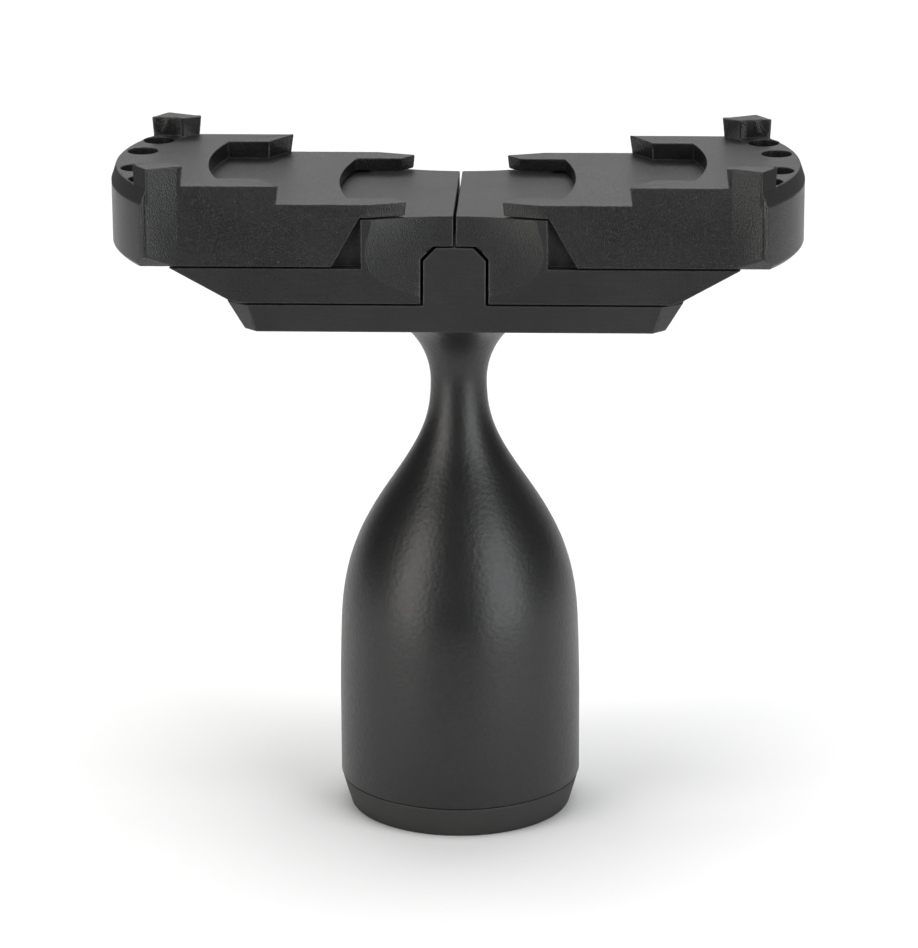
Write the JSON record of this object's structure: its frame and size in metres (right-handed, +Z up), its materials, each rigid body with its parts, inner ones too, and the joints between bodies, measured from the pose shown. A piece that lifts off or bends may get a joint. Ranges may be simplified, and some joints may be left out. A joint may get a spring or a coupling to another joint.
{
  "type": "miniature painting handle",
  "caption": "Hand-held painting handle: weighted bottle-shaped grip, turning head and a sprung clamp that opens in two stages, with stepped jaws for miniature bases.",
  "frame": {"origin": "centre of the foot's underside, on the grip's axis", "axes": "+Z up along the grip, X along the clamp's rail (jaws open along X), Y across it; the wide face seen in the picture looks to -Y"},
  "size_m": [0.1412, 0.0504, 0.1428],
  "materials": {
    "grip_plastic": "satin with a fine leathery grain",
    "foot_rubber": "matte rubber",
    "jaw_plastic": "fine spark-eroded grain",
    "slider_plastic": "fine spark-eroded grain on the block, smoother beam",
    "rail_plastic": "smooth matte",
    "inner_plastic": "plain matte",
    "washer_plastic": "natural low-friction plastic",
    "steel": "zinc plated",
    "spring_steel": "drawn wire",
    "brass": "turned"
  },
  "bodies": {
    "handle": {"grip_shell": "grip_plastic", "foot_ring": "foot_rubber", "base_plug": "inner_plastic", "base_weight": "steel", "plug_screws": "steel", "swivel_washer": "washer_plastic"},
    "head": {"rail_base": "rail_plastic", "rail_cover": "rail_plastic", "rail_cover_screws": "steel", "rail_insert": "brass", "swivel_screw": "steel", "swivel_spring_washer": "spring_steel", "left_rail_spring": "spring_steel", "right_rail_spring": "spring_steel"},
    "left_stage": {"left_slider": "slider_plastic", "left_keeper": "inner_plastic", "left_keeper_screws": "steel", "left_jaw_stop_screws": "steel", "left_jaw_spring": "spring_steel"},
    "left_clamp": {"left_jaw": "jaw_plastic"},
    "right_stage": {"right_slider": "slider_plastic", "right_keeper": "inner_plastic", "right_keeper_screws": "steel", "right_jaw_stop_screws": "steel", "right_jaw_spring": "spring_steel"},
    "right_clamp": {"right_jaw": "jaw_plastic"}
  },
  "joints": [
    {"name": "head_swivel", "type": "hinge", "parent": "handle", "child": "head", "pos_m": [0, 0, 0.1086], "axis": [0, 0, 1], "continuous": true},
    {"name": "left_stage_slide", "type": "slide", "parent": "head", "child": "left_stage", "axis": [-1, 0, 0], "range_m": [0, 0.0125], "stiffness_N_per_m": 400, "springref_m": -0.01, "deforming": ["left_rail_spring"]},
    {"name": "left_clamp_slide", "type": "slide", "parent": "left_stage", "child": "left_clamp", "axis": [-1, 0, 0], "range_m": [0, 0.0125], "stiffness_N_per_m": 300, "springref_m": -0.012, "deforming": ["left_jaw_spring"]},
    {"name": "right_stage_slide", "type": "slide", "parent": "head", "child": "right_stage", "axis": [1, 0, 0], "range_m": [0, 0.0125], "stiffness_N_per_m": 400, "springref_m": -0.01, "deforming": ["right_rail_spring"]},
    {"name": "right_clamp_slide", "type": "slide", "parent": "right_stage", "child": "right_clamp", "axis": [1, 0, 0], "range_m": [0, 0.0125], "stiffness_N_per_m": 300, "springref_m": -0.012, "deforming": ["right_jaw_spring"]}
  ]
}
